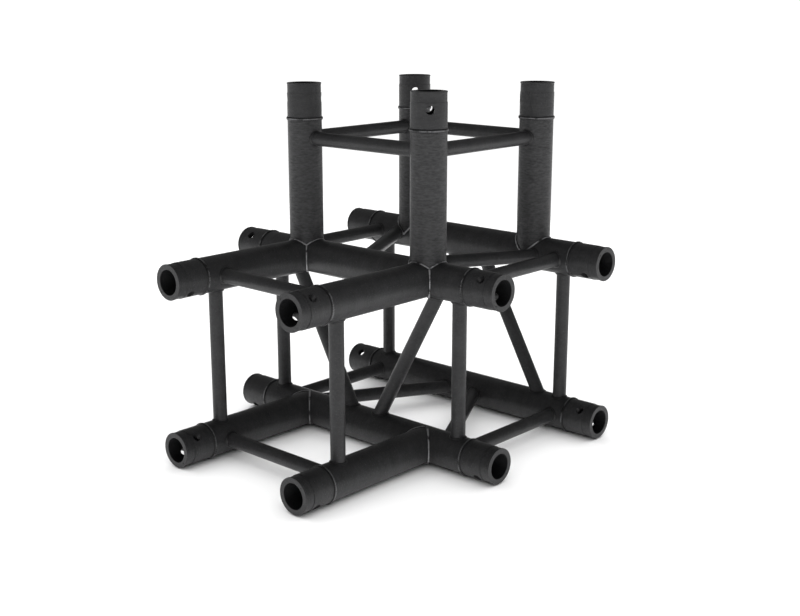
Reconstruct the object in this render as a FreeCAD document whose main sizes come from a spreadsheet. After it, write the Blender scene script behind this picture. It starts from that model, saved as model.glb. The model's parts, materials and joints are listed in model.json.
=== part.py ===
"""Four-way corner of a welded square truss: a through run, a stem and an upright leg.

Twelve main tubes end in sixteen turned receivers, joined by twenty-four braces and by weld beads.
The origin is on the ground, under the middle of the corner's bounding box; +Z is up, X runs along
the through run, and the stem leaves towards -Y. All lengths are in millimetres.
"""
import FreeCAD, Part
import math
import os

import Sketcher
from FreeCAD import Vector

SIZES = (
    # The lattice: distances from the middle of the junction, measured along the three arms.
    ("chord_spacing", 240.0, "distance between the axes of neighbouring main tubes"),
    ("run_reach", 250.0, "junction centre to the mouth faces of the through run, each way"),
    ("stem_reach", 377.0, "junction centre to the mouth faces of the stem"),
    ("leg_reach", 373.0, "junction centre to the mouth faces of the upright leg"),
    ("run_brace_setback", 22.0, "girth weld to the axes of the run's end braces"),
    ("stem_brace_setback", 29.5, "girth weld to the axes of the stem's end braces"),
    ("leg_brace_setback", 28.5, "girth weld to the axes of the leg's ring braces"),
    ("diagonal_inner", 15.5, "run centre to a diagonal's inner working point"),
    ("diagonal_overrun", 29.5, "node axis to a diagonal's outer working point"),
    # Tube stock.
    ("tube_diameter", 50.0, "main tube, outside"),
    ("tube_wall", 2.0, "main tube wall"),
    ("brace_diameter", 20.0, "brace tube, outside"),
    ("brace_wall", 2.0, "brace tube wall"),
    # The turned receiver.
    ("receiver_length", 51.0, "mouth face to girth weld"),
    ("neck_length", 22.0, "neck that reaches into the main tube"),
    ("neck_clearance", 0.15, "radial gap between neck and tube"),
    ("neck_bore", 26.0, "bore through the neck"),
    ("mouth_diameter", 35.0, "socket at the mouth face"),
    ("mouth_land", 4.0, "straight part of the socket behind the mouth face"),
    ("seat_depth", 46.0, "mouth face to the end of the tapered seat"),
    ("seat_end_diameter", 30.5, "tapered seat at its inner end"),
    ("band_length", 14.5, "relieved band next to the mouth"),
    ("band_step", 0.55, "radial depth of the relieved band"),
    ("lip_length", 1.6, "full-diameter lip in front of the band"),
    ("edge_chamfer", 0.4, "broken edges of the mouth face"),
    ("pin_hole_diameter", 12.0, "cross hole for the taper pin"),
    ("pin_depth", 23.8, "mouth face to the cross hole's axis"),
    ("mark_diameter", 2.0, "index dimple in the mouth face"),
    ("mark_depth", 0.8, "depth of the index dimple"),
    # Weld beads.
    ("girth_bead_rise", 1.7, "girth bead above the tube"),
    ("girth_bead_width", 7.6, "girth bead along the tube"),
    ("seam_rise", 1.1, "seam bead above tubes of equal diameter"),
    ("seam_width", 5.0, "seam bead across the joint"),
    ("fillet_size", 2.2, "fillet bead legs at a brace end"),
)

# A pocket that takes away less than this, in cubic millimetres, has missed the piece.
LEAST_CUT = 1.0

HALF = "(Sizes.chord_spacing / 2)"
TUBE_RADIUS = "(Sizes.tube_diameter / 2)"
TUBE_BORE_RADIUS = "(Sizes.tube_diameter / 2 - Sizes.tube_wall)"
SEAM_RADIUS = "(Sizes.tube_diameter / 2 + Sizes.seam_rise)"
FILLET_TUBE_RADIUS = "(Sizes.tube_diameter / 2 + Sizes.fillet_size)"
BEAD_RADIUS = "(Sizes.tube_diameter / 2 + Sizes.girth_bead_rise)"
BRACE_RADIUS = "(Sizes.brace_diameter / 2)"
BRACE_BORE_RADIUS = "(Sizes.brace_diameter / 2 - Sizes.brace_wall)"
FILLET_BRACE_RADIUS = "(Sizes.brace_diameter / 2 + Sizes.fillet_size)"

RUN_WELD = "(Sizes.run_reach - Sizes.receiver_length)"
STEM_WELD = "(Sizes.stem_reach - Sizes.receiver_length)"
LEG_WELD = "(Sizes.leg_reach - Sizes.receiver_length)"
RUN_BRACE = f"({RUN_WELD} - Sizes.run_brace_setback)"
STEM_BRACE = f"({STEM_WELD} - Sizes.stem_brace_setback)"
LEG_BRACE = f"({LEG_WELD} - Sizes.leg_brace_setback)"

DIAGONAL_OUTER = f"({HALF} + Sizes.diagonal_overrun)"
DIAGONAL_RUN = f"({DIAGONAL_OUTER} - Sizes.diagonal_inner)"
DIAGONAL_LENGTH = f"sqrt({DIAGONAL_RUN} ^ 2 + Sizes.chord_spacing ^ 2)"
DIAGONAL_LEAN = f"atan({DIAGONAL_RUN} / Sizes.chord_spacing)"

# The lowest and rearmost points are girth beads, so the junction centre sits a bead radius in from them.
NODE_Y = f"((Sizes.stem_reach - {HALF} - {BEAD_RADIUS}) / 2)"
NODE_Z = f"({HALF} + {BEAD_RADIUS})"

# Each turn carries a shape's own +Z onto the named direction.
TO_RIGHT = "rotationy(90)"
TO_BACK = "rotationx(-90)"
UPRIGHT = "rotationz(0)"

SIDES = (("left", -1), ("right", 1))
DEPTHS = (("near", -1), ("far", 1))
LEVELS = (("lower", -1), ("upper", 1))

# For each open end: the turn that points a receiver inwards, and where that turn sends its own X and Y.
ENDS = {
    "left": ("rotationy(90)", Vector(0, 0, -1), Vector(0, 1, 0)),
    "right": ("rotationy(-90)", Vector(0, 0, 1), Vector(0, 1, 0)),
    "stem": ("rotationx(-90)", Vector(1, 0, 0), Vector(0, 0, -1)),
    "leg": ("rotationx(180)", Vector(1, 0, 0), Vector(0, -1, 0)),
}


def signed(sign, size):
    """An expression for the size on the given side of the junction centre."""
    return size if sign > 0 else f"(-1 * {size})"


def at(x, y, z, turn=UPRIGHT):
    """A placement expression for a point given from the junction centre."""
    return f"placement(vector({x}; {y} + {NODE_Y}; {z} + {NODE_Z}); {turn})"


def make_sheet(doc):
    """The spreadsheet that drives every size of the model."""
    sheet = doc.addObject("Spreadsheet::Sheet", "Sizes")
    for row, (alias, value, meaning) in enumerate(SIZES, start=1):
        sheet.set(f"A{row}", alias)
        sheet.set(f"B{row}", str(value))
        sheet.setAlias(f"B{row}", alias)
        sheet.set(f"C{row}", meaning)
    doc.recompute()
    return sheet


def cylinder(doc, name, radius, length, place):
    """A round bar that starts at the placement and runs along its +Z."""
    bar = doc.addObject("Part::Cylinder", name)
    bar.setExpression("Radius", radius)
    bar.setExpression("Height", length)
    bar.setExpression("Placement", place)
    return bar


def cut(doc, name, base, tools):
    """The base with each tool taken away in turn."""
    for tool in tools:
        less = doc.addObject("Part::Cut", name)
        less.Base = base
        less.Tool = tool
        base = less
    return base


def joined(doc, name, pieces):
    """One solid from pieces that run into each other."""
    fused = doc.addObject("Part::MultiFuse", name)
    fused.Shapes = pieces
    return fused


def shared(doc, name, base, tool):
    """The volume that two shapes have in common."""
    common = doc.addObject("Part::Common", name)
    common.Base = base
    common.Tool = tool
    return common


def grouped(doc, name, pieces):
    """Separate solids kept as one node."""
    group = doc.addObject("Part::Compound", name)
    group.Links = pieces
    return group


# ---------------------------------------------------------------- main tubes


def run_bar(doc, name, radius, depth, level):
    """A round bar along a chord of the through run, between its two girth welds."""
    place = at(signed(-1, RUN_WELD), signed(depth, HALF), signed(level, HALF), TO_RIGHT)
    return cylinder(doc, name, radius, f"2 * {RUN_WELD}", place)


def stem_bar(doc, name, radius, side, level):
    """A round bar along a chord of the stem, from its girth weld to the near run chord's axis."""
    place = at(signed(side, HALF), signed(-1, STEM_WELD), signed(level, HALF), TO_BACK)
    return cylinder(doc, name, radius, f"{STEM_WELD} - {HALF}", place)


def leg_bar(doc, name, radius, side, depth):
    """A round bar along a tube of the leg, from the upper chords' axes to its girth weld."""
    place = at(signed(side, HALF), signed(depth, HALF), HALF)
    return cylinder(doc, name, radius, f"{LEG_WELD} - {HALF}", place)


def make_bars(doc, prefix, radius):
    """All twelve main tubes as solid bars of one radius, by arm and corner."""
    bars = {}
    for depth_name, depth in DEPTHS:
        for level_name, level in LEVELS:
            name = f"{prefix}_run_{depth_name}_{level_name}"
            bars["run", depth, level] = run_bar(doc, name, radius, depth, level)
    for side_name, side in SIDES:
        for level_name, level in LEVELS:
            name = f"{prefix}_stem_{side_name}_{level_name}"
            bars["stem", side, level] = stem_bar(doc, name, radius, side, level)
        for depth_name, depth in DEPTHS:
            name = f"{prefix}_leg_{side_name}_{depth_name}"
            bars["leg", side, depth] = leg_bar(doc, name, radius, side, depth)
    return bars


def tube_name(arm, first, second):
    """The node name of a main tube."""
    if arm == "run":
        return f"run_chord_{dict(map(reversed, DEPTHS))[first]}_{dict(map(reversed, LEVELS))[second]}"
    side = dict(map(reversed, SIDES))[first]
    if arm == "stem":
        return f"stem_chord_{side}_{dict(map(reversed, LEVELS))[second]}"
    return f"leg_tube_{dict(map(reversed, DEPTHS))[second]}_{side}"


def mates_of(arm, first, second):
    """The main tubes that this one is coped onto: run chords are whole, legs sit on top of the chords."""
    if arm == "run":
        return []
    if arm == "stem":
        return [("run", -1, second)]
    if second < 0:
        return [("run", -1, 1), ("stem", first, 1)]
    return [("run", 1, 1)]


def make_main_tubes(doc, skins, bores):
    """The twelve main tubes: bored, and coped to the outside of their mates."""
    tubes = []
    for key, skin in skins.items():
        tools = [bores[key]] + [skins[mate] for mate in mates_of(*key)]
        tube = cut(doc, "main_tube", skin, tools)
        tube.Label = tube_name(*key)
        tubes.append(tube)
    return tubes


# ---------------------------------------------------------------- receivers


def origin_plane(body, role):
    """One of the body's own origin planes."""
    return next(plane for plane in body.Origin.OriginFeatures if plane.Role == role)


def new_sketch(body, name, role):
    """An empty sketch on one of the body's origin planes."""
    sketch = body.newObject("Sketcher::SketchObject", name)
    sketch.AttachmentSupport = [(origin_plane(body, role), "")]
    sketch.MapMode = "FlatFace"
    return sketch


def pin_coordinate(sketch, kind, axis, line, point, size):
    """Hold one coordinate of a point at a size from the sheet, or on the sketch axis when it is zero."""
    if size == "0":
        sketch.addConstraint(Sketcher.Constraint("PointOnObject", line, point, axis))
        return
    value = float(sketch.evalExpression(size))
    index = sketch.addConstraint(Sketcher.Constraint(kind, -1, 1, line, point, value))
    sketch.setExpression(f"Constraints[{index}]", size)


def draw_outline(sketch, corners):
    """A closed outline of straight lines whose corners follow the sheet."""
    points = [Vector(*(float(sketch.evalExpression(size)) for size in corner), 0) for corner in corners]
    count = len(corners)
    for index, start in enumerate(points):
        sketch.addGeometry(Part.LineSegment(start, points[(index + 1) % count]))
    for index in range(count):
        sketch.addConstraint(Sketcher.Constraint("Coincident", index, 2, (index + 1) % count, 1))
    for index, (across, along) in enumerate(corners):
        pin_coordinate(sketch, "DistanceX", -2, index, 1, across)
        pin_coordinate(sketch, "DistanceY", -1, index, 1, along)


def draw_circle(sketch, radius, along):
    """A circle on the sketch's vertical axis, at a size from the sheet."""
    start = Vector(0, float(sketch.evalExpression(along)), 0)
    circle = Part.Circle(start, Vector(0, 0, 1), float(sketch.evalExpression(radius)))
    sketch.addGeometry(circle)
    index = sketch.addConstraint(Sketcher.Constraint("Radius", 0, circle.Radius))
    sketch.setExpression(f"Constraints[{index}]", radius)
    pin_coordinate(sketch, "DistanceX", -2, 0, 3, "0")
    pin_coordinate(sketch, "DistanceY", -1, 0, 3, along)


def receiver_corners():
    """The turned profile as radius and depth behind the mouth face, from the socket's mouth outwards."""
    chamfer = "Sizes.edge_chamfer"
    mouth = "Sizes.mouth_diameter / 2"
    seat_end = "Sizes.seat_end_diameter / 2"
    bore = "Sizes.neck_bore / 2"
    neck = f"{TUBE_BORE_RADIUS} - Sizes.neck_clearance"
    band = f"{TUBE_RADIUS} - Sizes.band_step"
    neck_end = "Sizes.receiver_length + Sizes.neck_length"
    return (
        (f"{mouth} + {chamfer}", "0"),
        (f"{TUBE_RADIUS} - {chamfer}", "0"),
        (TUBE_RADIUS, chamfer),
        (TUBE_RADIUS, "Sizes.lip_length"),
        (band, "Sizes.lip_length + Sizes.band_step"),
        (band, "Sizes.band_length"),
        (TUBE_RADIUS, "Sizes.band_length"),
        (TUBE_RADIUS, "Sizes.receiver_length"),
        (neck, "Sizes.receiver_length"),
        (neck, neck_end),
        (bore, neck_end),
        (bore, "Sizes.seat_depth"),
        (seat_end, "Sizes.seat_depth"),
        (mouth, "Sizes.mouth_land"),
        (mouth, chamfer),
    )


def make_receiver(doc, label):
    """A receiver with its mouth face on its own XY plane and its socket along +Z, pin hole along X."""
    body = doc.addObject("PartDesign::Body", "receiver")
    body.Label = label
    profile = new_sketch(body, "profile", "XZ_Plane")
    draw_outline(profile, receiver_corners())
    turned = body.newObject("PartDesign::Revolution", "turned")
    turned.Profile = profile
    turned.ReferenceAxis = (profile, ["V_Axis"])
    turned.Angle = 360.0

    pin_circle = new_sketch(body, "pin_circle", "YZ_Plane")
    draw_circle(pin_circle, "Sizes.pin_hole_diameter / 2", "Sizes.pin_depth")
    pin_hole = body.newObject("PartDesign::Pocket", "pin_hole")
    pin_hole.Profile = pin_circle
    pin_hole.Type = "ThroughAll"
    pin_hole.Midplane = True

    mark_circle = new_sketch(body, "mark_circle", "XY_Plane")
    draw_circle(mark_circle, "Sizes.mark_diameter / 2", f"(Sizes.mouth_diameter / 2 + {TUBE_RADIUS}) / 2")
    mark = body.newObject("PartDesign::Pocket", "mark")
    mark.Profile = mark_circle
    mark.Reversed = True
    mark.setExpression("Length", "Sizes.mark_depth")
    body.Tip = mark
    return body


def receiver_spots():
    """Every receiver: its label, open end, place from the junction centre and outward corner direction."""
    spots = []
    for end, reach in (("left", "(-1 * Sizes.run_reach)"), ("right", "Sizes.run_reach")):
        for depth_name, depth in DEPTHS:
            for level_name, level in LEVELS:
                place = (reach, signed(depth, HALF), signed(level, HALF))
                corner = Vector(0, depth, level)
                spots.append((f"receiver_{end}_{depth_name}_{level_name}", end, place, corner))
    for side_name, side in SIDES:
        for level_name, level in LEVELS:
            place = (signed(side, HALF), "(-1 * Sizes.stem_reach)", signed(level, HALF))
            corner = Vector(side, 0, level)
            spots.append((f"receiver_stem_{side_name}_{level_name}", "stem", place, corner))
        for depth_name, depth in DEPTHS:
            place = (signed(side, HALF), signed(depth, HALF), "Sizes.leg_reach")
            corner = Vector(side, depth, 0)
            spots.append((f"receiver_leg_{depth_name}_{side_name}", "leg", place, corner))
    return spots


def make_receivers(doc):
    """The sixteen receivers, each turned so that its pin hole points at the middle of its arm."""
    receivers = []
    for label, end, place, corner in receiver_spots():
        turn, own_x, own_y = ENDS[end]
        spin = math.degrees(math.atan2(-corner.dot(own_y), -corner.dot(own_x)))
        receiver = make_receiver(doc, label)
        receiver.setExpression("Placement", at(*place, f"{turn} * rotationz({spin:.0f})"))
        receivers.append(receiver)
    return receivers


# ---------------------------------------------------------------- braces


def brace_spots():
    """Every brace: family, name, start, turn, length, the two tubes it joins and close neighbours."""
    spots = []
    span = "Sizes.chord_spacing"
    low, high = signed(-1, HALF), HALF
    for side_name, side in SIDES:
        across = signed(side, RUN_BRACE)
        for depth_name, depth in DEPTHS:
            start = (across, signed(depth, HALF), low)
            ends = [("run", depth, -1), ("run", depth, 1)]
            spots.append(("post", f"post_{side_name}_{depth_name}", start, UPRIGHT, span, ends, []))
        for level_name, level in LEVELS:
            start = (across, low, signed(level, HALF))
            ends = [("run", -1, level), ("run", 1, level)]
            name = f"end_brace_{side_name}_{level_name}"
            spots.append(("cross", name, start, TO_BACK, span, ends, []))
        start = (signed(side, HALF), signed(-1, STEM_BRACE), low)
        ends = [("stem", side, -1), ("stem", side, 1)]
        spots.append(("post", f"post_stem_{side_name}", start, UPRIGHT, span, ends, []))
        start = (signed(side, HALF), low, LEG_BRACE)
        ends = [("leg", side, -1), ("leg", side, 1)]
        spots.append(("cross", f"ring_brace_{side_name}", start, TO_BACK, span, ends, []))
    for level_name, level in LEVELS:
        start = (low, signed(-1, STEM_BRACE), signed(level, HALF))
        ends = [("stem", -1, level), ("stem", 1, level)]
        spots.append(("cross", f"end_brace_stem_{level_name}", start, TO_RIGHT, span, ends, []))
    for depth_name, depth in DEPTHS:
        start = (low, signed(depth, HALF), LEG_BRACE)
        ends = [("leg", -1, depth), ("leg", 1, depth)]
        spots.append(("cross", f"ring_brace_{depth_name}", start, TO_RIGHT, span, ends, []))
    return spots + diagonal_spots()


def diagonal_spots():
    """The eight diagonals: each leans from the middle of one run chord to beyond a node of the next."""
    spots = []
    low = signed(-1, HALF)
    for side_name, side in SIDES:
        inner = signed(side, "Sizes.diagonal_inner")
        outer = signed(side, DIAGONAL_OUTER)
        lean_out, lean_in = signed(side, DIAGONAL_LEAN), signed(-side, DIAGONAL_LEAN)
        # Name, start, turn, tubes joined, neighbours that the end of the diagonal runs close to.
        rows = (
            ("near", (inner, low, low), f"rotationy({lean_out})",
             [("run", -1, -1), ("run", -1, 1)], [("stem", side, 1)]),
            ("far", (outer, HALF, low), f"rotationy({lean_in})",
             [("run", 1, -1), ("run", 1, 1)], []),
            ("top", (inner, low, HALF), f"rotationz({lean_in}) * {TO_BACK}",
             [("run", -1, 1), ("run", 1, 1)], [("leg", side, 1)]),
            ("bottom", (outer, low, low), f"rotationz({lean_out}) * {TO_BACK}",
             [("run", -1, -1), ("run", 1, -1)], []),
        )
        for face, start, turn, ends, neighbours in rows:
            name = f"diagonal_{face}_{side_name}"
            spots.append(("diagonal", name, start, turn, DIAGONAL_LENGTH, ends, neighbours))
    return spots


def make_braces(doc, skins):
    """The braces, coped to the tubes they join, and the solid bars they are cut from."""
    braces, bars = [], {}
    for _, name, start, turn, length, ends, neighbours in brace_spots():
        place = at(*start, turn)
        bars[name] = cylinder(doc, "brace_bar", BRACE_RADIUS, length, place)
        bore = cylinder(doc, "brace_bore", BRACE_BORE_RADIUS, length, place)
        tools = [bore] + [skins[key] for key in ends + neighbours]
        brace = cut(doc, "brace", bars[name], tools)
        brace.Label = name
        braces.append(brace)
    return braces, bars


# ---------------------------------------------------------------- welds


def make_girth_bead(doc, place):
    """A rounded bead around a tube: a torus whose inside is taken up by the tube."""
    half_width = "(Sizes.girth_bead_width / 2)"
    ring = f"(({BEAD_RADIUS} ^ 2 - {TUBE_RADIUS} ^ 2 - {half_width} ^ 2) / (2 * Sizes.girth_bead_rise))"
    torus = doc.addObject("Part::Torus", "bead_ring")
    torus.setExpression("Radius1", ring)
    torus.setExpression("Radius2", f"{BEAD_RADIUS} - {ring}")
    torus.setExpression("Placement", place)
    width = "Sizes.girth_bead_width"
    core_place = f"{place} * placement(vector(0; 0; -1 * {width}); {UPRIGHT})"
    core = cylinder(doc, "bead_core", TUBE_RADIUS, f"2 * {width}", core_place)
    return cut(doc, "girth_bead", torus, [core])


def make_girth_welds(doc):
    """One group of four girth beads for each open end."""
    groups = []
    for end in ENDS:
        beads = []
        for _, spot_end, place, _ in receiver_spots():
            if spot_end == end:
                inward = f"placement(vector(0; 0; Sizes.receiver_length); {UPRIGHT})"
                beads.append(make_girth_bead(doc, f"{at(*place, ENDS[end][0])} * {inward}"))
        group = grouped(doc, "girth_welds", beads)
        group.Label = f"girth_welds_{end}"
        groups.append(group)
    return groups


def seam_slab(doc, node, turn, back, front):
    """A thin slab on a seam's plane, from the node axis outwards, between two distances across it."""
    slab = doc.addObject("Part::Box", "seam_slab")
    slab.setExpression("Length", f"2 * {SEAM_RADIUS}")
    slab.setExpression("Width", f"{front} - {back}")
    slab.setExpression("Height", "Sizes.seam_width")
    shift = f"placement(vector(0; {back}; -1 * Sizes.seam_width / 2); {UPRIGHT})"
    slab.setExpression("Placement", f"{at(*node, turn)} * {shift}")
    return slab


def seam_bead(doc, node, seams, swollen, skins):
    """The beads along the seams of one node: the slabs' share of the swollen tubes, outside the tubes."""
    slabs = [seam_slab(doc, node, *seam) for seam in seams]
    slab = joined(doc, "seam_slabs", slabs)
    swelling = joined(doc, "swollen_tubes", swollen)
    return cut(doc, "seam_bead", shared(doc, "seam_band", slab, swelling), skins)


def make_node_welds(doc, skins, brace_bars):
    """The seam beads where main tubes of equal diameter meet: two lower and four upper nodes."""
    swollen = make_bars(doc, "swollen", SEAM_RADIUS)
    full = SEAM_RADIUS
    # Three tubes' seams meet at a corner this far from the node axis, plus a third of a bead's width.
    tip = f"({TUBE_RADIUS} / sqrt(2) + Sizes.seam_width / 3)"
    # A leg's seams climb the run chord on two planes that lean away from each other.
    rise = ("rotationy(-45)", "rotationy(-135)")
    # A stem's seams lie on two upright planes: full height at a lower node, up to the corner at an upper one.
    fall = ("rotationx(90) * rotationy(-45)", "rotationx(90) * rotationy(-135)")
    beads = []
    for side_name, side in SIDES:
        nodes = {key: (signed(side, HALF), signed(key[0], HALF), signed(key[1], HALF))
                 for key in ((-1, -1), (-1, 1), (1, 1))}
        lower = [(turn, f"(-1 * {full})", full) for turn in fall]
        tubes = [("run", -1, -1), ("stem", side, -1)]
        beads.append(seam_bead(doc, nodes[-1, -1], lower, [swollen[key] for key in tubes],
                               [skins[key] for key in tubes]))
        upper = [(turn, f"(-1 * {full})", tip) for turn in fall]
        upper += [(turn, f"(-1 * {tip})", full) for turn in rise]
        upper += [("rotationz(-90) * rotationy(-45)", f"(-1 * {tip})", tip)]
        tubes = [("run", -1, 1), ("stem", side, 1), ("leg", side, -1)]
        beads.append(seam_bead(doc, nodes[-1, 1], upper, [swollen[key] for key in tubes],
                               [skins[key] for key in tubes] + [brace_bars[f"diagonal_near_{side_name}"]]))
        far = [(turn, f"(-1 * {full})", full) for turn in rise]
        tubes = [("run", 1, 1), ("leg", side, 1)]
        beads.append(seam_bead(doc, nodes[1, 1], far, [swollen[key] for key in tubes],
                               [skins[key] for key in tubes] + [brace_bars[f"diagonal_top_{side_name}"]]))
    group = grouped(doc, "node_welds", beads)
    group.Label = "node_welds"
    return group, beads


def make_brace_welds(doc, skins, brace_bars, node_beads):
    """Fillet beads at both ends of every brace, in one group for each family of braces."""
    swollen = make_bars(doc, "fillet", FILLET_TUBE_RADIUS)
    families = {"post": [], "cross": [], "diagonal": []}
    for family, name, start, turn, length, ends, neighbours in brace_spots():
        sleeve = cylinder(doc, "fillet_sleeve", FILLET_BRACE_RADIUS, length, at(*start, turn))
        reach = grouped(doc, "fillet_reach", [swollen[key] for key in ends])
        tools = [brace_bars[name]] + [skins[key] for key in ends + neighbours]
        if neighbours:
            tools += node_beads
        fillets = cut(doc, "fillets", shared(doc, "fillet_ends", sleeve, reach), tools)
        families[family].append(fillets)
    groups = []
    for family, fillets in families.items():
        group = grouped(doc, "brace_welds", fillets)
        group.Label = f"{family}_brace_welds"
        groups.append(group)
    return groups


# ---------------------------------------------------------------- the whole corner


def build(doc):
    """Make every piece and return the ones that are kept, one per node."""
    make_sheet(doc)
    skins = make_bars(doc, "skin", TUBE_RADIUS)
    bores = make_bars(doc, "bore", TUBE_BORE_RADIUS)
    braces, brace_bars = make_braces(doc, skins)
    node_welds, node_beads = make_node_welds(doc, skins, brace_bars)
    pieces = make_main_tubes(doc, skins, bores) + make_receivers(doc) + braces
    pieces += make_girth_welds(doc) + [node_welds]
    pieces += make_brace_welds(doc, skins, brace_bars, node_beads)
    doc.recompute()
    return pieces


def check_cuts(body):
    """Stop unless each of a body's pockets took material away."""
    features = [made for made in body.Group if made.isDerivedFrom("PartDesign::Feature")]
    for before, after in zip(features, features[1:]):
        if before.Shape.Volume - after.Shape.Volume < LEAST_CUT:
            raise RuntimeError(f"{body.Label}: {after.Name} cut nothing")


def check(doc, pieces):
    """Stop unless every object computed, every pocket cut and every kept piece is a valid solid."""
    for made in doc.Objects:
        if "Invalid" in made.State or "Error" in made.State:
            raise RuntimeError(f"{made.Label} did not compute: {made.State}")
    for piece in pieces:
        shape = piece.Shape
        if shape.isNull() or not shape.isValid() or not shape.Solids:
            raise RuntimeError(f"{piece.Label} has no valid solid")
        if piece.isDerivedFrom("PartDesign::Body"):
            check_cuts(piece)


def write(pieces):
    """One STEP file for each node."""
    os.makedirs("parts", exist_ok=True)
    for piece in pieces:
        piece.Shape.exportStep(os.path.join("parts", piece.Label + ".step"))


def main():
    """Build, check and write the corner."""
    doc = FreeCAD.newDocument("truss_corner")
    pieces = build(doc)
    check(doc, pieces)
    write(pieces)
    print(len(pieces), "nodes,", sum(len(piece.Shape.Solids) for piece in pieces), "solids")


main()
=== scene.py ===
"""Looks of a welded four-way corner of square lighting truss, powder coated in satin black.

The tubes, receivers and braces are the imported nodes, dressed with a coat that suits how each was
made.  The weld nodes are replaced by rippled beads: each is a closed surface carried along the
line where two pieces meet.  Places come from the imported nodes' boxes, and lengths are in metres.
"""

import json
import logging
import math
from dataclasses import dataclass, field
from enum import Enum

import bpy
import numpy as np
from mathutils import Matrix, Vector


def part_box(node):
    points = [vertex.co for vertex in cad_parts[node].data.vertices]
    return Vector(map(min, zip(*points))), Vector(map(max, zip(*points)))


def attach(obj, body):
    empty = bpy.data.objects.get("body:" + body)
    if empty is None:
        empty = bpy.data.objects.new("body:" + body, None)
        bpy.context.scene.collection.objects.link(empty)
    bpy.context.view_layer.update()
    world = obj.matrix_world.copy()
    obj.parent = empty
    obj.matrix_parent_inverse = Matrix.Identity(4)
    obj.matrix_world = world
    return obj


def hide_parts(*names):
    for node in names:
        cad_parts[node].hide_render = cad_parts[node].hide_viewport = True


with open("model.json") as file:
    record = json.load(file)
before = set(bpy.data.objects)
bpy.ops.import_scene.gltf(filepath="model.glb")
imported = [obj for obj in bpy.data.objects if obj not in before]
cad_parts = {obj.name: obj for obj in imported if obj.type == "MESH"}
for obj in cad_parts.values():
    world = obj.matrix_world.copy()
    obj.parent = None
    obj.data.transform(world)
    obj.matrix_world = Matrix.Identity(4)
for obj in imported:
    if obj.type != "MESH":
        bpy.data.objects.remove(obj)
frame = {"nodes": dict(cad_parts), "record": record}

MM = 0.001
BODY = "root"
BORE_MARGIN = 0.1 * MM
NOISE_LOW = 0.3
NOISE_HIGH = 0.7
log = logging.getLogger("truss_corner")

Array = np.ndarray
Colour = tuple[float, float, float, float]
Axis3 = tuple[float, float, float]


# ------------------------------------------------------------------ small helpers


def linear(code: str) -> Colour:
    """Turn an sRGB hex colour into the linear colour that a shader socket takes.

    Args:
        code: six hex digits after a hash sign.

    Returns:
        Red, green, blue and an alpha of one.
    """
    parts = [int(code[i:i + 2], 16) / 255 for i in (1, 3, 5)]
    red, green, blue = (p / 12.92 if p <= 0.04045 else ((p + 0.055) / 1.055) ** 2.4 for p in parts)
    return red, green, blue, 1.0


def add_node(tree: bpy.types.NodeTree, kind: str, settings: dict | None = None,
             inputs: dict | None = None) -> bpy.types.Node:
    """Add a node with its settings and links.

    Args:
        tree: the node tree to add to.
        kind: the node's type name.
        settings: properties to set on the node.
        inputs: for each input, by name or number, a value or the output socket that feeds it.

    Returns:
        The new node.
    """
    node = tree.nodes.new(kind)
    for name, value in (settings or {}).items():
        setattr(node, name, value)
    for name, value in (inputs or {}).items():
        if isinstance(value, bpy.types.NodeSocket):
            tree.links.new(value, node.inputs[name])
        else:
            node.inputs[name].default_value = value
    return node


def new_material(name: str) -> tuple[bpy.types.Material, bpy.types.NodeTree]:
    """Start a material with an empty node tree.

    Args:
        name: what it is made of and how.

    Returns:
        The material and its tree.
    """
    made = bpy.data.materials.new(name)
    made.use_nodes = True
    made.node_tree.nodes.clear()
    return made, made.node_tree


def add_noise(tree: bpy.types.NodeTree, place: bpy.types.NodeSocket, size_mm: float,
              detail: float = 2.0, roughness: float = 0.5) -> bpy.types.NodeSocket:
    """Add noise and give its value.

    Args:
        tree: the node tree to add to.
        place: the point at which the noise is read.
        size_mm: about how wide its blotches are.
        detail: how many finer layers it carries.
        roughness: how strong the finer layers are.

    Returns:
        The noise, mostly between NOISE_LOW and NOISE_HIGH.
    """
    return add_node(tree, "ShaderNodeTexNoise", inputs={
        "Vector": place, "Scale": 1 / (size_mm * MM), "Detail": detail,
        "Roughness": roughness}).outputs[0]


def add_ramp(tree: bpy.types.NodeTree, value: bpy.types.NodeSocket, start: float,
             end: float) -> bpy.types.NodeSocket:
    """Add a smooth climb from zero to one while a value goes from start to end."""
    return add_node(tree, "ShaderNodeMapRange", {"interpolation_type": "SMOOTHSTEP"}, {
        "Value": value, "From Min": start, "From Max": end}).outputs[0]


def add_mix(tree: bpy.types.NodeTree, share: bpy.types.NodeSocket,
            low: bpy.types.NodeSocket | Colour,
            high: bpy.types.NodeSocket | Colour) -> bpy.types.NodeSocket:
    """Add a blend from one colour, at a share of zero, to another, at one."""
    return add_node(tree, "ShaderNodeMix", {"data_type": "RGBA"}, {
        0: share, 6: low, 7: high}).outputs[2]


def add_bump(tree: bpy.types.NodeTree, height: bpy.types.NodeSocket, depth_mm: float,
             under: bpy.types.NodeSocket | None = None) -> bpy.types.NodeSocket:
    """Add a bump and give its normal.

    Args:
        tree: the node tree to add to.
        height: the relief, from zero to one.
        depth_mm: how deep the relief is.
        under: the normal of a bump that this one lies on.

    Returns:
        The normal.
    """
    inputs = {"Height": height, "Distance": depth_mm * MM, "Strength": 1.0}
    if under is not None:
        inputs["Normal"] = under
    return add_node(tree, "ShaderNodeBump", inputs=inputs).outputs[0]


def unit(vectors: Array) -> Array:
    """Scale each vector to a length of one."""
    return vectors / np.linalg.norm(vectors, axis=-1, keepdims=True)


def node_centre(name: str) -> Array:
    """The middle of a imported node's box."""
    low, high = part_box(name)
    return (np.array(low) + np.array(high)) / 2


def half_width(name: str) -> float:
    """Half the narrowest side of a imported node's box: the radius, for a straight tube."""
    low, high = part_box(name)
    return float(np.min(np.array(high) - np.array(low))) / 2


# ------------------------------------------------------------------ finishes


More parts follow.
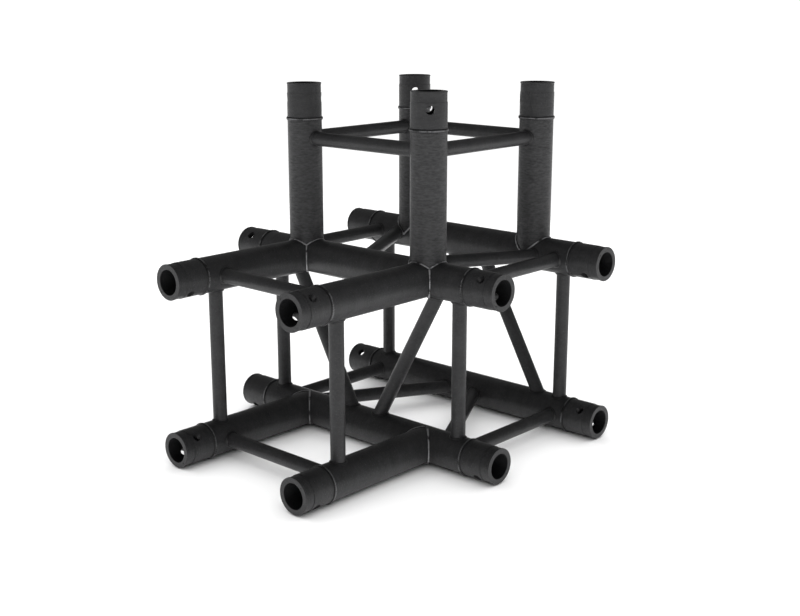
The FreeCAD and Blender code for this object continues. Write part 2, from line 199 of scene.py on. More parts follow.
class Grain(Enum):
    """The direction in which a tube was drawn or a receiver turned."""

    ALONG_X = (1.0, 0.0, 0.0)
    ALONG_Y = (0.0, 1.0, 0.0)
    ALONG_Z = (0.0, 0.0, 1.0)

    def scales(self, along: float, across: float) -> Axis3:
        """Pattern scales with one value along the grain and another across it."""
        return tuple(along if part else across for part in self.value)


@dataclass(frozen=True)
class Bore:
    """The bore of a turned piece, painted darker inside: painted shade in the recess."""

    centre: Array
    radius: float
    blend: float = 0.3 * MM


@dataclass(frozen=True)
class PowderCoat:
    """Satin black polyester powder coat on aluminium.

    The cured powder lies in fine waves round the metal, like orange peel drawn sideways, with a
    few coarser grains standing out.
    """

    name: str
    deep: str = "#323233"
    pale: str = "#434344"
    fleck: str = "#4c4c4d"
    roughness_low: float = 0.36
    roughness_high: float = 0.46
    peel_mm: float = 5.0
    peel_depth_mm: float = 0.35
    stretch: float = 2.1
    grit_mm: float = 1.9
    grit_depth_mm: float = 0.12
    grit_start: float = 0.56
    grit_full: float = 0.72
    cloud_mm: float = 28.0
    wave_shade: float = 0.8
    specular: float = 0.28
    # the colour of the painted shade inside a bore
    bore_shade_tone: str = "#262627"

    def material(self, grain: Grain, bore: Bore | None = None) -> bpy.types.Material:
        """Make the coat for pieces whose grain runs one way.

        The peel is noise squeezed along the grain, so that its waves run round the metal; the
        grit is finer noise cut to its peaks.

        Args:
            grain: the direction in which the metal below was drawn or turned.
            bore: the bore in which to paint shade, on a piece that has one.

        Returns:
            The material.
        """
        made, tree = new_material(f"{self.name}_{grain.name.lower()}")
        place = add_node(tree, "ShaderNodeTexCoord").outputs["Object"]
        drawn = add_node(tree, "ShaderNodeVectorMath", {"operation": "MULTIPLY"},
                         {0: place, 1: grain.scales(self.stretch, 1.0)}).outputs[0]
        peel = add_noise(tree, drawn, self.peel_mm)
        grit = add_noise(tree, place, self.grit_mm, detail=3.0, roughness=0.65)
        cloud = add_noise(tree, drawn, self.cloud_mm)
        peaks = add_ramp(tree, grit, self.grit_start, self.grit_full)
        blend = add_node(tree, "ShaderNodeMath", {"operation": "MULTIPLY_ADD"}, {
            0: peel, 1: self.wave_shade, 2: cloud}).outputs[0]
        shade = add_node(tree, "ShaderNodeMapRange", inputs={
            "Value": blend, "From Min": NOISE_LOW * (1 + self.wave_shade),
            "From Max": NOISE_HIGH * (1 + self.wave_shade)}).outputs[0]
        body = add_mix(tree, shade, linear(self.deep), linear(self.pale))
        tone = add_mix(tree, peaks, body, linear(self.fleck))
        # painted shade inside the bore
        if bore is not None:
            tone = self.paint_bore_shade(tree, place, tone, grain, bore)
        rough = add_node(tree, "ShaderNodeMapRange", inputs={
            "Value": peel, "From Min": NOISE_LOW, "From Max": NOISE_HIGH,
            "To Min": self.roughness_low, "To Max": self.roughness_high}).outputs[0]
        waves = add_bump(tree, peel, self.peel_depth_mm)
        shader = add_node(tree, "ShaderNodeBsdfPrincipled", inputs={
            "Base Color": tone, "Roughness": rough, "Specular IOR Level": self.specular,
            "Normal": add_bump(tree, peaks, self.grit_depth_mm, under=waves)})
        add_node(tree, "ShaderNodeOutputMaterial", inputs={0: shader.outputs[0]})
        return made

    def paint_bore_shade(self, tree: bpy.types.NodeTree, place: bpy.types.NodeSocket,
                    tone: bpy.types.NodeSocket, grain: Grain, bore: Bore) -> bpy.types.NodeSocket:
        """Blend to a painted shade wherever a point lies nearer the axis than the bore's radius.

        Args:
            tree: the material's node tree.
            place: the point that is shaded.
            tone: the colour outside the bore.
            grain: the direction of the axis.
            bore: where the axis runs and how wide the bore is.

        Returns:
            The blended colour.
        """
        flat = grain.scales(0.0, 1.0)
        across = add_node(tree, "ShaderNodeVectorMath", {"operation": "MULTIPLY"},
                          {0: place, 1: flat}).outputs[0]
        away = add_node(tree, "ShaderNodeVectorMath", {"operation": "DISTANCE"},
                        {0: across, 1: tuple(bore.centre * np.array(flat))})
        inside = add_node(tree, "ShaderNodeMapRange", inputs={
            "Value": away.outputs["Value"], "From Min": bore.radius,
            "From Max": bore.radius + bore.blend, "To Min": 1.0, "To Max": 0.0})
        return add_mix(tree, inside.outputs[0], tone, linear(self.bore_shade_tone))


@dataclass(frozen=True)
class WeldCoat:
    """Powder coat over weld ripples, with painted shade at the toes and a broken painted highlight on
    the crest.

    The eye sees a dark line at each toe and a broken pale line along the top.
    """

    name: str
    # colour of the painted highlight along the crest
    crest: str
    # colour of the bead off its crest: painted shade along the toes
    toe: str = "#0f0f10"
    roughness: float = 0.32
    pit_mm: float = 1.6
    pit_depth_mm: float = 0.2
    # noise that breaks the painted highlight into dashes
    glint_break_mm: float = 11.0
    glint_break_low: float = 0.38
    glint_break_high: float = 0.54
    glint_start: float = 0.72

    def material(self) -> bpy.types.Material:
        """Make the coat: a painted highlight on the crest, placed by the bead's own crest attribute,
        and painted shade elsewhere.

        Returns:
            The material.
        """
        made, tree = new_material(self.name)
        crest = add_node(tree, "ShaderNodeAttribute", {"attribute_name": "crest"})
        place = add_node(tree, "ShaderNodeTexCoord").outputs["Object"]
        # painted highlight where the crest attribute is high, broken into dashes; painted shade
        # elsewhere
        share = add_ramp(tree, crest.outputs["Fac"], self.glint_start, 1.0)
        glint_breaks = add_ramp(tree, add_noise(tree, place, self.glint_break_mm, detail=3.0),
                          self.glint_break_low, self.glint_break_high)
        crest_glint = add_node(tree, "ShaderNodeMath", {"operation": "MULTIPLY"},
                        {0: share, 1: glint_breaks}).outputs[0]
        shader = add_node(tree, "ShaderNodeBsdfPrincipled", inputs={
            "Base Color": add_mix(tree, crest_glint, linear(self.toe), linear(self.crest)),
            "Roughness": self.roughness,
            "Normal": add_bump(tree, add_noise(tree, place, self.pit_mm), self.pit_depth_mm)})
        add_node(tree, "ShaderNodeOutputMaterial", inputs={0: shader.outputs[0]})
        return made


# ------------------------------------------------------------------ the corner's own lines


@dataclass(frozen=True)
class Rod:
    """A straight round bar: a point on its axis, its direction and its radius."""

    point: Array
    along: Array
    radius: float


class Lattice:
    """The axes of the main tubes and braces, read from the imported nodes."""

    def __init__(self) -> None:
        """Read every main tube's axis, and the radii from a chord and a post."""
        self.tube_radius = half_width("run_chord_near_lower")
        self.brace_radius = half_width("post_left_near")
        self.mains: dict[str, Rod] = {}
        for name in frame["nodes"]:
            grain = grain_of(name)
            if name.startswith(("run_chord", "stem_chord", "leg_tube")):
                self.mains[name] = Rod(node_centre(name), np.array(grain.value), self.tube_radius)

    def node(self, side: str, depth: str, level: str) -> Array:
        """Where a stem or leg axis crosses a run chord's axis.

        Args:
            side: left or right.
            depth: near or far.
            level: lower or upper.

        Returns:
            The point.
        """
        chord = self.mains[f"run_chord_{depth}_{level}"].point
        across = self.mains[f"leg_tube_near_{side}"].point[0]
        return np.array([across, chord[1], chord[2]])


def grain_of(name: str) -> Grain:
    """Tell the direction of a piece's axis from its name.

    A diagonal counts as running along the side of its face that is square to the run.

    Args:
        name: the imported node's name.

    Returns:
        The direction.
    """
    if name.startswith(("leg_", "receiver_leg", "post_")):
        return Grain.ALONG_Z
    if name.startswith(("stem_", "receiver_stem", "ring_brace_left", "ring_brace_right")):
        return Grain.ALONG_Y
    if name.startswith(("end_brace_left", "end_brace_right", "diagonal_top", "diagonal_bottom")):
        return Grain.ALONG_Y
    if name.startswith(("diagonal_near", "diagonal_far")):
        return Grain.ALONG_Z
    return Grain.ALONG_X


# ------------------------------------------------------------------ weld beads


@dataclass(frozen=True)
class Path:
    """The line of a weld: its two toes, its root and the way that it stands up, point by point."""

    toe_a: Array
    toe_b: Array
    root: Array
    lift: Array
    closed: bool


@dataclass(frozen=True)
class Ripple:
    """The hand of the welder: how high a bead stands and how its ripples lie."""

    rise: float
    pitch: float = 2.9 * MM
    depth: float = 0.24
    bow: float = 0.34
    wander: float = 0.5 * MM
    wander_length: float = 31 * MM
    end_length: float = 2.4 * MM
    slow_share: float = 0.7
    fast_share: float = 0.3
    fast_lag: float = 0.9

    def height(self, run: Array, across: Array, start: float) -> Array:
        """The bead's height over the line between its toes.

        A half ellipse across, times one plus a wave along the run.  The wave is two cosines, so
        that each ripple drops faster than it climbs, and it lags towards the toes as a crescent.

        Args:
            run: distance along the weld, one row for each station.
            across: from minus one at one toe to one at the other.
            start: where in its rhythm this bead begins, in turns.

        Returns:
            Heights, a row for each station and a column for each place across.
        """
        dome = np.sqrt(np.clip(1 - across ** 2, 0, 1))
        drift = self.wander * np.sin(2 * np.pi * (run / self.wander_length + start))
        turn = (run + drift) / self.pitch + self.bow * across ** 2 + start
        wave = (self.slow_share * np.cos(2 * np.pi * turn)
                + self.fast_share * np.cos(4 * np.pi * turn + self.fast_lag))
        return self.rise * dome * (1 + self.depth * wave)


@dataclass
class Shells:
    """Closed surfaces gathered into one mesh."""

    points: list[Array] = field(default_factory=list)
    crests: list[Array] = field(default_factory=list)
    faces: list[Array] = field(default_factory=list)
    count: int = 0

    def add(self, points: Array, crest: Array, faces: list[Array]) -> None:
        """Add one closed surface, turned right side out.

        Args:
            points: its vertices.
            crest: how near the top of the bead each vertex is, from zero to one.
            faces: arrays of three- or four-cornered faces.
        """
        volume = 0.0
        for block in faces:
            first, second, third = (points[block[:, i]] for i in (0, 1, 2))
            volume += np.einsum("ij,ij->", first, np.cross(second, third))
            if block.shape[1] == 4:
                last = points[block[:, 3]]
                volume += np.einsum("ij,ij->", first, np.cross(third, last))
        for block in faces:
            turned = block if volume > 0 else block[:, ::-1]
            self.faces.append(turned + self.count)
        self.points.append(points)
        self.crests.append(crest)
        self.count += len(points)

    def piece(self, name: str, material: bpy.types.Material) -> bpy.types.Object:
        """Put the surfaces into one smooth mesh object at the origin.

        Args:
            name: the object's name.
            material: its finish.

        Returns:
            The object.
        """
        mesh = bpy.data.meshes.new(name)
        faces = [face for block in self.faces for face in block.tolist()]
        mesh.from_pydata(np.concatenate(self.points).tolist(), [], faces)
        crest = mesh.attributes.new("crest", "FLOAT", "POINT")
        crest.data.foreach_set("value", np.concatenate(self.crests).astype(np.float32))
        mesh.polygons.foreach_set("use_smooth", np.ones(len(mesh.polygons), bool))
        mesh.materials.append(material)
        mesh.update()
        made = bpy.data.objects.new(name, mesh)
        bpy.context.scene.collection.objects.link(made)
        return made


def sweep_bead(shells: Shells, path: Path, ripple: Ripple, start: float, across_count: int = 9) -> None:
    """Carry a bead's section along its path and add it as one closed surface.

    A point of the section is the line between the toes, plus the bead's height along the lift; the
    root closes the section inside the metal.  An open bead shrinks to a point at both ends as the
    root of one minus the square of the distance into the end.

    Args:
        shells: the surfaces to add to.
        path: the weld's line.
        ripple: height and rhythm.
        start: where in its rhythm the bead begins, in turns.
        across_count: points across the section, toe to toe.
    """
    middle = (path.toe_a + path.toe_b) / 2
    steps = np.linalg.norm(np.diff(middle, axis=0), axis=1)
    run = np.concatenate([[0.0], np.cumsum(steps)])[:, None]
    across = np.linspace(-1, 1, across_count)[None, :]
    if path.closed:
        around = run[-1, 0] + np.linalg.norm(middle[0] - middle[-1])
        count = max(round(around / ripple.pitch), 1)
        run = run * (count * ripple.pitch / around)
        size = np.ones_like(run)
    else:
        into = np.clip(np.minimum(run, run[-1] - run) / ripple.end_length, 0, 1)
        size = np.sqrt(1 - (1 - into) ** 2)
    height = ripple.height(run, across, start) * size
    half = (path.toe_b - path.toe_a)[:, None, :] / 2 * (across * size)[:, :, None]
    top = middle[:, None, :] + half + path.lift[:, None, :] * height[:, :, None]
    root = (middle + (path.root - middle) * size)[:, None, :]
    ring = np.concatenate([top, root], axis=1)
    crest = np.concatenate([np.repeat(1 - across ** 2, len(run), 0), np.zeros_like(run)], axis=1)
    add_ring_surface(shells, ring, crest, path.closed)


def add_ring_surface(shells: Shells, ring: Array, crest: Array, closed: bool) -> None:
    """Join rings of points into a closed surface: a torus, or a spindle with a pole at each end.

    Args:
        shells: the surfaces to add to.
        ring: points, one row for each station and one column round the section.
        crest: the crest value of each point.
        closed: whether the last station joins the first.
    """
    if not closed:
        poles = ring[[0, -1]].mean(axis=1)
        ring, crest = ring[1:-1], crest[1:-1]
    rows, columns = ring.shape[:2]
    index = np.arange(rows * columns).reshape(rows, columns)
    beside = np.roll(index, -1, axis=1)
    last = rows if closed else rows - 1
    ahead, ahead_beside = np.roll(index, -1, axis=0), np.roll(beside, -1, axis=0)
    quads = np.stack([index, beside, ahead_beside, ahead], axis=-1)[:last].reshape(-1, 4)
    points, values = ring.reshape(-1, 3), crest.reshape(-1)
    if closed:
        shells.add(points, values, [quads])
        return
    first_pole, last_pole = rows * columns, rows * columns + 1
    front = np.stack([np.full(columns, first_pole), beside[0], index[0]], axis=-1)
    back = np.stack([np.full(columns, last_pole), index[-1], beside[-1]], axis=-1)
    pole_values = np.full(2, 0.5)
    shells.add(np.concatenate([points, poles]), np.concatenate([values, pole_values]),
               [quads, front, back])


@dataclass
class Welds:
    """A family of beads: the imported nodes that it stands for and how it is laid."""

    lattice: Lattice
    material: bpy.types.Material
    station: float = 0.5 * MM
    fewest_stations: int = 12
    root_depth: float = 1.0 * MM
    sunk: float = 0.1 * MM

    def stations(self, length: float) -> int:
        """How many stations a weld of this length takes."""
        return max(round(length / self.station), self.fewest_stations)

    def finish_piece(self, shells: Shells, name: str, *nodes: str) -> None:
        """Make the piece, let it ride and stand for its nodes, and log it.

        Args:
            shells: its surfaces.
            name: the piece's name.
            nodes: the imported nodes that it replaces.
        """
        made = shells.piece(name, self.material)
        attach(made, BODY)
        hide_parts(*nodes)
        log.info("%s: %d beads, %d points", name, len(shells.points), shells.count)


@dataclass
class GirthBeads(Welds):
    """The beads round the tubes, where each receiver is welded on."""

    rise: float = 1.45 * MM
    width: float = 5.2 * MM
    beat: float = 0.37

    def path(self, centre: Array, grain: Grain) -> Path:
        """A circle round a tube, with a toe on the tube and a toe on the receiver.

        Args:
            centre: the bead's middle, on the tube's axis.
            grain: the tube's direction.

        Returns:
            The weld's line.
        """
        along = np.array(grain.value)
        one, two = np.roll(along, 1), np.roll(along, 2)
        radius = self.lattice.tube_radius - self.sunk
        count = self.stations(2 * math.pi * radius)
        angle = np.linspace(0, 2 * np.pi, count, endpoint=False)[:, None]
        outward = np.cos(angle) * one + np.sin(angle) * two
        rim = centre + outward * radius
        shift = along * self.width / 2
        return Path(rim - shift, rim + shift, rim - outward * self.root_depth, outward, True)

    def build(self) -> None:
        """Make one piece for each open end of the corner."""
        ripple = Ripple(self.rise)
        for end in ("left", "right", "stem", "leg"):
            shells = Shells()
            node = f"girth_welds_{end}"
            receivers = sorted(n for n in frame["nodes"] if n.startswith(f"receiver_{end}"))
            grain = grain_of(f"receiver_{end}")
            for number, receiver in enumerate(receivers):
                centre = node_centre(receiver)
                along = np.array(grain.value, bool)
                centre[along] = node_centre(node)[along]
                sweep_bead(shells, self.path(centre, grain), ripple, self.beat * number)
            self.finish_piece(shells, f"girth_beads_{end}", node)


@dataclass(frozen=True)
class Seam:
    """A stretch of the line where two equal tubes cross at right angles.

    The line is R times (cos t times the shared normal, plus sin t times the sum of the through
    tube's axis and the branch's axis), with t in degrees.
    """

    through: Axis3
    branch: Axis3
    shared: Axis3
    first: float
    last: float


@dataclass
class SeamBeads(Welds):
    """The beads at the nodes, where the stem and the leg are coped onto the run."""

    rise: float = 1.0 * MM
    width: float = 5.0 * MM
    pitch: float = 2.6 * MM
    overrun: float = 3.0
    mean_stretch: float = 1.2
    beat: float = 0.29

    def path(self, node: Array, seam: Seam) -> Path:
        """The seam's line at one node, with a toe on each tube.

        The line is half an ellipse, about mean_stretch times as long as a circle's arc.

        Args:
            node: where the tubes' axes cross.
            seam: which tubes meet, and how far round the bead goes.

        Returns:
            The weld's line.
        """
        radius = self.lattice.tube_radius
        through, branch, shared = (np.array(v) for v in (seam.through, seam.branch, seam.shared))
        first, last = seam.first - self.overrun, seam.last + self.overrun
        length = math.radians(last - first) * radius * self.mean_stretch
        turn = np.radians(np.linspace(first, last, self.stations(length)))[:, None]
        line = radius * (np.cos(turn) * shared + np.sin(turn) * (through + branch))
        lift = unit(2 * np.cos(turn) * shared + np.sin(turn) * (through + branch))
        spread = (through - branch) / math.sqrt(2) * self.width / 2
        toe_a = self.onto(line + spread, through)
        toe_b = self.onto(line - spread, branch)
        return Path(node + toe_a, node + toe_b, node + line - lift * self.root_depth, lift, False)

    def onto(self, points: Array, axis: Array) -> Array:
        """Move points straight in or out until they lie just under a tube's skin."""
        along = (points @ axis)[:, None] * axis
        return along + unit(points - along) * (self.lattice.tube_radius - self.sunk)

    def build(self) -> None:
        """Make the beads of all six nodes as one piece.

        Two tubes' seams run from top to bottom of the node, or stop at the corner where a third
        tube's seams meet them, an eighth of a turn from the shared normal.
        """
        right, left, front, back = (1.0, 0, 0), (-1.0, 0, 0), (0, -1.0, 0), (0, 1.0, 0)
        up = (0, 0, 1.0)
        shells = Shells()
        ripple = Ripple(self.rise, self.pitch)
        number = 0
        for side in ("left", "right"):
            spots = []
            for way in (left, right):
                spots.append(("near", "lower", Seam(way, front, up, 0, 180)))
                spots.append(("near", "upper", Seam(way, front, up, 45, 180)))
                spots.append(("near", "upper", Seam(way, up, back, 0, 135)))
                spots.append(("far", "upper", Seam(way, up, back, 0, 180)))
            spots.append(("near", "upper", Seam(front, up, right, 45, 135)))
            for depth, level, seam in spots:
                node = self.lattice.node(side, depth, level)
                sweep_bead(shells, self.path(node, seam), ripple, self.beat * number)
                number += 1
        self.finish_piece(shells, "seam_beads", "node_welds")


@dataclass
class BraceFillets(Welds):
    """The small fillets round both ends of every brace."""

    rise: float = 0.35 * MM
    leg: float = 2.3 * MM
    pitch: float = 2.2 * MM
    depth: float = 0.5
    first_beat: float = 0.31
    second_beat: float = 0.43
    diagonal_inner: float = 15.5 * MM
    diagonal_overrun: float = 29.5 * MM

    def path(self, start: Array, towards: Array, main: Rod) -> Path:
        """The line round a brace where it lands on a main tube.

        Each point lies on a circle round the brace, pushed along the brace until it reaches the
        main tube's skin; the lower toe is the same with a circle one leg wider.

        Args:
            start: the brace's working point, on the main tube's axis.
            towards: the direction from there into the brace.
            main: the tube that it lands on.

        Returns:
            The weld's line.
        """
        towards = unit(towards)
        side = unit(np.cross(towards, main.along))
        other = np.cross(towards, side)
        radius = self.lattice.brace_radius
        count = self.stations(2 * math.pi * (radius + self.leg))
        angle = np.linspace(0, 2 * np.pi, count, endpoint=False)[:, None]
        outward = np.cos(angle) * side + np.sin(angle) * other
        root, skin = self.landing(start, towards, outward, radius, main)
        wide, wide_skin = self.landing(start, towards, outward, radius + self.leg, main)
        toe_a = root + towards * self.leg - outward * self.sunk
        toe_b = wide - wide_skin * self.sunk
        lift = unit(outward + skin)
        return Path(toe_a, toe_b, root - lift * self.root_depth, lift, True)

    def landing(self, start: Array, towards: Array, outward: Array, radius: float,
                main: Rod) -> tuple[Array, Array]:
        """Where lines beside the brace's axis leave the main tube's skin, and its normal there.

        With the parts along the main tube taken out, |offset + height times direction| equals the
        main radius; the larger root of that quadratic is the outer skin.

        Args:
            start: a point on both axes.
            towards: the brace's direction.
            outward: directions round the brace, one row each.
            radius: how far the lines lie from the brace's axis.
            main: the tube.

        Returns:
            The points and the tube's outward normals.
        """
        offset = outward * radius
        flat = offset - (offset @ main.along)[:, None] * main.along
        rise = towards - (towards @ main.along) * main.along
        square, cross = rise @ rise, flat @ rise
        rest = np.einsum("ij,ij->i", flat, flat) - main.radius ** 2
        height = (-cross + np.sqrt(cross ** 2 - square * rest)) / square
        return (start + offset + height[:, None] * towards,
                unit(flat + height[:, None] * rise))

    def ends(self, brace: str) -> list[tuple[Array, Rod]]:
        """The two working points of a brace, each with the tube that it lands on.

        Args:
            brace: the brace's node name.

        Returns:
            A point and a main tube for each end.
        """
        mains = self.lattice.mains
        if brace.startswith("diagonal"):
            return self.diagonal_ends(brace)
        words = brace.split("_")
        pairs = {
            "post_stem": [f"stem_chord_{words[-1]}_{level}" for level in ("lower", "upper")],
            "post": [f"run_chord_{words[-1]}_{level}" for level in ("lower", "upper")],
            "end_brace_stem": [f"stem_chord_{side}_{words[-1]}" for side in ("left", "right")],
            "end_brace": [f"run_chord_{depth}_{words[-1]}" for depth in ("near", "far")],
            "ring_brace_near": ["leg_tube_near_left", "leg_tube_near_right"],
            "ring_brace_far": ["leg_tube_far_left", "leg_tube_far_right"],
            "ring_brace": [f"leg_tube_{depth}_{words[-1]}" for depth in ("near", "far")],
        }
        family = next(key for key in pairs if brace.startswith(key))
        found = []
        for name in pairs[family]:
            main = mains[name]
            centre = node_centre(brace)
            across = np.array(grain_of(brace).value, bool)
            centre[across] = main.point[across]
            found.append((centre, main))
        return found

    def diagonal_ends(self, brace: str) -> list[tuple[Array, Rod]]:
        """The working points of a diagonal: one near the run's middle, one just past a node.

        Args:
            brace: the diagonal's node name.

        Returns:
            A point and a main tube for each end.
        """
        _, face, side = brace.split("_")
        sign = {"left": -1, "right": 1}[side]
        chords = {
            "near": ("run_chord_near_lower", "run_chord_near_upper"),
            "far": ("run_chord_far_upper", "run_chord_far_lower"),
            "top": ("run_chord_near_upper", "run_chord_far_upper"),
            "bottom": ("run_chord_far_lower", "run_chord_near_lower"),
        }[face]
        inner, outer = (self.lattice.mains[name] for name in chords)
        half = abs(self.lattice.node(side, "near", "upper")[0])
        first, second = inner.point.copy(), outer.point.copy()
        first[0] = sign * self.diagonal_inner
        second[0] = sign * (half + self.diagonal_overrun)
        return [(first, inner), (second, outer)]

    def build(self) -> None:
        """Make one piece for each family of braces."""
        ripple = Ripple(self.rise, self.pitch, self.depth)
        families = {"post": ("post_",), "cross": ("end_brace_", "ring_brace_"),
                    "diagonal": ("diagonal_",)}
        for family, prefixes in families.items():
            shells = Shells()
            braces = sorted(n for n in frame["nodes"]
                            if n.startswith(prefixes) and not n.endswith("welds"))
            for number, brace in enumerate(braces):
                (first, one), (second, two) = self.ends(brace)
                sweep_bead(shells, self.path(first, second - first, one), ripple,
                           self.first_beat * number)
                sweep_bead(shells, self.path(second, first - second, two), ripple,
                           self.second_beat * number)
            self.finish_piece(shells, f"{family}_brace_fillets", f"{family}_brace_welds")


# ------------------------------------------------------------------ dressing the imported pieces


@dataclass
class Dressing:
    """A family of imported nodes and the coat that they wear."""

    label: str
    prefixes: tuple[str, ...]
    coat: PowderCoat
    bore_radius: float | None = None

    def build(self) -> None:
        """Give each node of the family its coat, by the way that its grain runs.

        Pieces with one axis share a coat, or each has its own where the coat paints shade into a bore.
        """
        coats: dict[tuple, bpy.types.Material] = {}
        names = [n for n in frame["nodes"] if n.startswith(self.prefixes) and "welds" not in n]
        for name in sorted(names):
            grain = grain_of(name)
            bore = None if self.bore_radius is None else Bore(node_centre(name), self.bore_radius)
            line = () if bore is None else tuple(np.round(bore.centre * grain.scales(0.0, 1.0), 4))
            if (grain, line) not in coats:
                coats[grain, line] = self.coat.material(grain, bore)
            for spot in frame["nodes"][name].material_slots:
                spot.material = coats[grain, line]
        log.info("%s: %d nodes dressed", self.label, len(names))


# ------------------------------------------------------------------ studio


@dataclass
class Studio:
    """A pale floor under a broad softbox, in a room that is pale below the horizon and dim above it."""

    floor_half: float = 1.7
    floor_colour: str = "#efefef"
    floor_roughness: float = 0.95
    floor_ticks: int = 5
    box_side: float = 8.0
    box_height: float = 2.2
    box_power: float = 350.0
    room_bright: float = 1.25
    room_dark: float = 0.2
    bright_below: float = -6.0
    dark_above: float = 7.0
    backdrop: float = 1.1

    def floor(self) -> bpy.types.Object:
        """A flat grid under the object, of paper with no sheen, so that only shadows show on it.

        Returns:
            The floor.
        """
        ticks = np.linspace(-self.floor_half, self.floor_half, self.floor_ticks)
        across, deep = np.meshgrid(ticks, ticks)
        points = np.stack([across, deep, np.zeros_like(deep)], axis=-1).reshape(-1, 3)
        index = np.arange(len(points)).reshape(across.shape)
        quads = np.stack([index[:-1, :-1], index[:-1, 1:], index[1:, 1:], index[1:, :-1]], axis=-1)
        mesh = bpy.data.meshes.new("studio_floor")
        mesh.from_pydata(points.tolist(), [], quads.reshape(-1, 4).tolist())
        made = bpy.data.materials.new("matt_white_paper")
        made.use_nodes = True
        shader = made.node_tree.nodes["Principled BSDF"]
        shader.inputs["Base Color"].default_value = linear(self.floor_colour)
        shader.inputs["Roughness"].default_value = self.floor_roughness
        shader.inputs["Specular IOR Level"].default_value = 0.0
        mesh.materials.append(made)
        floor = bpy.data.objects.new("studio_floor", mesh)
        bpy.context.scene.collection.objects.link(floor)
        return floor

    def softbox(self, floor: bpy.types.Object) -> None:
        """A square light over the object that lights only the floor, for a soft contact shadow.

        Args:
            floor: what it lights.
        """
        lamp = bpy.data.lights.new("softbox", "AREA")
        lamp.size = self.box_side
        lamp.energy = self.box_power
        box = bpy.data.objects.new("softbox", lamp)
        box.location = (0.0, 0.0, self.box_height)
        bpy.context.scene.collection.objects.link(box)
        lit = bpy.data.collections.new("lit_by_softbox")
        lit.objects.link(floor)
        box.light_linking.receiver_collection = lit

    def room(self) -> None:
        """A world that falls from pale to dim at the horizon, with a white backdrop for the camera."""
        world = bpy.data.worlds.new("studio_room")
        world.use_nodes = True
        tree = world.node_tree
        tree.nodes.clear()
        way = add_node(tree, "ShaderNodeTexCoord").outputs["Generated"]
        height = add_node(tree, "ShaderNodeSeparateXYZ", inputs={0: way}).outputs["Z"]
        glow = add_node(tree, "ShaderNodeMapRange", {"interpolation_type": "SMOOTHSTEP"}, {
            "Value": height,
            "From Min": math.sin(math.radians(self.bright_below)),
            "From Max": math.sin(math.radians(self.dark_above)),
            "To Min": self.room_bright, "To Max": self.room_dark})
        seen = add_node(tree, "ShaderNodeLightPath").outputs["Is Camera Ray"]
        strength = add_node(tree, "ShaderNodeMix", {"data_type": "FLOAT"}, {
            0: seen, 2: glow.outputs[0], 3: self.backdrop})
        light = add_node(tree, "ShaderNodeBackground", inputs={"Strength": strength.outputs[0]})
        light.inputs["Color"].default_value = (1.0, 1.0, 1.0, 1.0)
        add_node(tree, "ShaderNodeOutputWorld", inputs={0: light.outputs[0]})
        bpy.context.scene.world = world

    def build(self) -> None:
        """Set up the floor, the light and the room."""
        self.softbox(self.floor())
        self.room()
        bpy.context.scene.view_settings.view_transform = "Standard"
        log.info("studio: floor, softbox and room")


@dataclass
class Viewpoint:
    """A camera in front and to the right of the corner, a little above it."""

    azimuth: float = 42.489
    elevation: float = 14.334
    distance: float = 1.7874
    focal_mm: float = 54.713
    sensor_mm: float = 36.0
    aim_right: float = 0.0170
    aim_back: float = -0.06415
    aim_up: float = 0.04955

    def build(self, junction: Array) -> None:
        """Place the camera and make it the scene's own.

        Args:
            junction: the middle of the junction, from which the aim is measured.
        """
        turn, lift = math.radians(self.azimuth), math.radians(self.elevation)
        back = np.array([math.sin(turn) * math.cos(lift), -math.cos(turn) * math.cos(lift),
                         math.sin(lift)])
        aim = junction + np.array([self.aim_right, self.aim_back, self.aim_up])
        lens = bpy.data.cameras.new("camera")
        lens.lens = self.focal_mm
        lens.sensor_width = self.sensor_mm
        camera = bpy.data.objects.new("camera", lens)
        camera.location = aim + back * self.distance
        camera.rotation_euler = (math.pi / 2 - lift, 0.0, turn)
        bpy.context.scene.collection.objects.link(camera)
        bpy.context.scene.camera = camera
        log.info("camera: %.1f degrees round, %.1f up", self.azimuth, self.elevation)


# ------------------------------------------------------------------ the whole corner


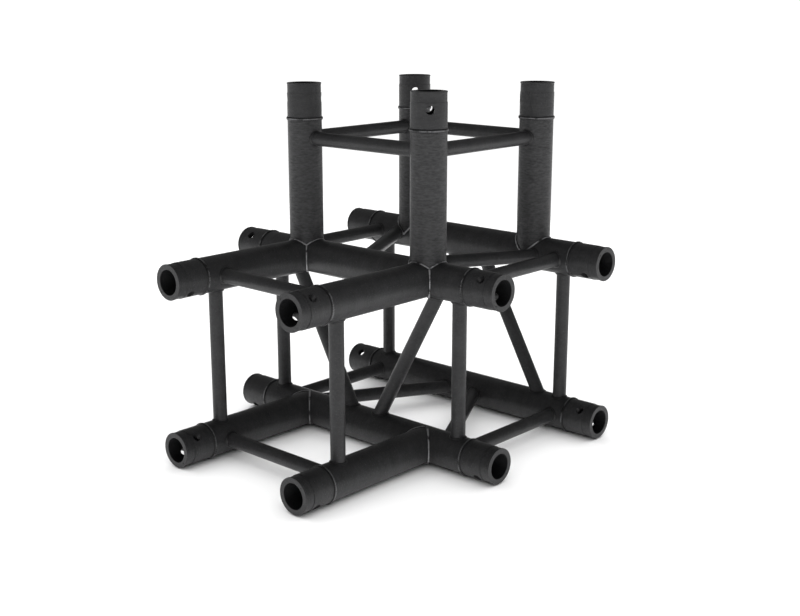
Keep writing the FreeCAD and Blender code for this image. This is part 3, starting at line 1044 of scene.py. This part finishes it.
def mouth_radius() -> float:
    """The radius of a receiver's mouth, from the record's mount for the sockets of one end."""
    mounts = {mount["name"]: mount for mount in frame["record"]["mounts"]}
    return mounts["left_sockets"]["dims"]["hole_r_mm"] * MM


def junction_centre(lattice: Lattice) -> Array:
    """The middle of the junction: halfway between the run's four chords."""
    chords = [rod.point for name, rod in lattice.mains.items() if name.startswith("run_chord")]
    return np.mean(chords, axis=0)


def main() -> None:
    """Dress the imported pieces, lay the welds and set up the studio."""
    logging.basicConfig(level=logging.INFO, format="%(name)s: %(message)s")
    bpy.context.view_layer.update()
    lattice = Lattice()
    bore_radius = mouth_radius() + BORE_MARGIN
    drawn = PowderCoat("satin_powder_coat_on_drawn_tube", peel_depth_mm=0.22)
    waved = PowderCoat("waved_satin_powder_coat_on_drawn_tube", deep="#333334", pale="#525253",
                       peel_mm=7.0, stretch=3.2, peel_depth_mm=0.75, wave_shade=2.4)
    turned = PowderCoat("satin_powder_coat_on_turned_receiver", stretch=2.6, peel_mm=6.0,
                        peel_depth_mm=0.28, grit_depth_mm=0.16)
    slim = PowderCoat("satin_powder_coat_on_brace_tube", stretch=1.2, peel_mm=4.0,
                      peel_depth_mm=0.14, grit_depth_mm=0.08)
    Dressing("run and stem tubes", ("run_chord_", "stem_chord_"), drawn).build()
    Dressing("leg tubes", ("leg_tube_",), waved).build()
    Dressing("receivers", ("receiver_",), turned, bore_radius).build()
    Dressing("braces", ("post_", "end_brace_", "ring_brace_", "diagonal_"), slim).build()
    # Each bead's crest colour is a painted highlight, and its toe colour a painted shade.
    girth = WeldCoat("rubbed_powder_coat_on_girth_bead", crest="#707072")
    seam = WeldCoat("rubbed_powder_coat_on_seam_bead", crest="#b8b8ba", glint_break_low=0.3, glint_break_high=0.52,
                    glint_start=0.4)
    fillet = WeldCoat("powder_coat_on_fillet_bead", crest="#2c2c2d", toe="#161617")
    GirthBeads(lattice, girth.material()).build()
    SeamBeads(lattice, seam.material()).build()
    BraceFillets(lattice, fillet.material()).build()
    Studio().build()
    Viewpoint().build(junction_centre(lattice))
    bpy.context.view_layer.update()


if __name__ == "__main__":
    main()
